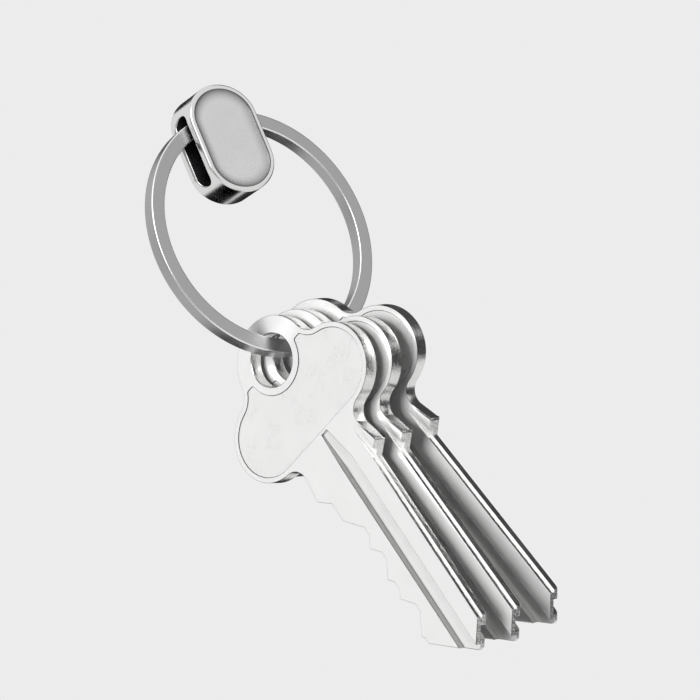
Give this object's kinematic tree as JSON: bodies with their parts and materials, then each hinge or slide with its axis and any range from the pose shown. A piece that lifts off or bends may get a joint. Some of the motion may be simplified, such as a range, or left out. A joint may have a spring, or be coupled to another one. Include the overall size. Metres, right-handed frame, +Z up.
{
  "type": "key ring",
  "caption": "Split key ring of square-section wire with an oval dished sliding tab, holding flat keys with three-lobed bows and cut blades.",
  "frame": {"origin": "centre of the ring", "axes": "+Z up, the keys hang down along -Z; +X along the ring's level diameter; the ring's own axis leans 20.6 degrees up from +Y"},
  "size_m": [0.035, 0.029, 0.0869],
  "materials": {
    "ring_steel": "satin",
    "tab_steel": "bead blasted dish, polished sides",
    "key_nickel": "polished nickel plate"
  },
  "bodies": {
    "ring": {"split_ring": "ring_steel"},
    "tab": {"sliding_tab": "tab_steel"},
    "front_key": {"front_key": "key_nickel"},
    "middle_key": {"middle_key": "key_nickel"},
    "rear_key": {"rear_key": "key_nickel"}
  },
  "joints": [
    {"name": "tab_travel", "type": "hinge", "parent": "ring", "child": "tab", "pos_m": [0, 0, 0], "axis": [0, 0.9361, 0.3518], "range_deg": [-100, 120]},
    {"name": "front_key_swing", "type": "hinge", "parent": "ring", "child": "front_key", "pos_m": [-0.00429, 0.0056, -0.01489], "axis": [-0.9659, -0.2588, 0], "range_deg": [-75, 75]},
    {"name": "middle_key_swing", "type": "hinge", "parent": "ring", "child": "middle_key", "pos_m": [-0.00155, 0.00577, -0.01535], "axis": [-0.9646, -0.2585, -0.0523], "range_deg": [-75, 75]},
    {"name": "rear_key_swing", "type": "hinge", "parent": "ring", "child": "rear_key", "pos_m": [0.00175, 0.00576, -0.01533], "axis": [-0.9565, -0.2563, -0.1392], "range_deg": [-75, 75]}
  ]
}
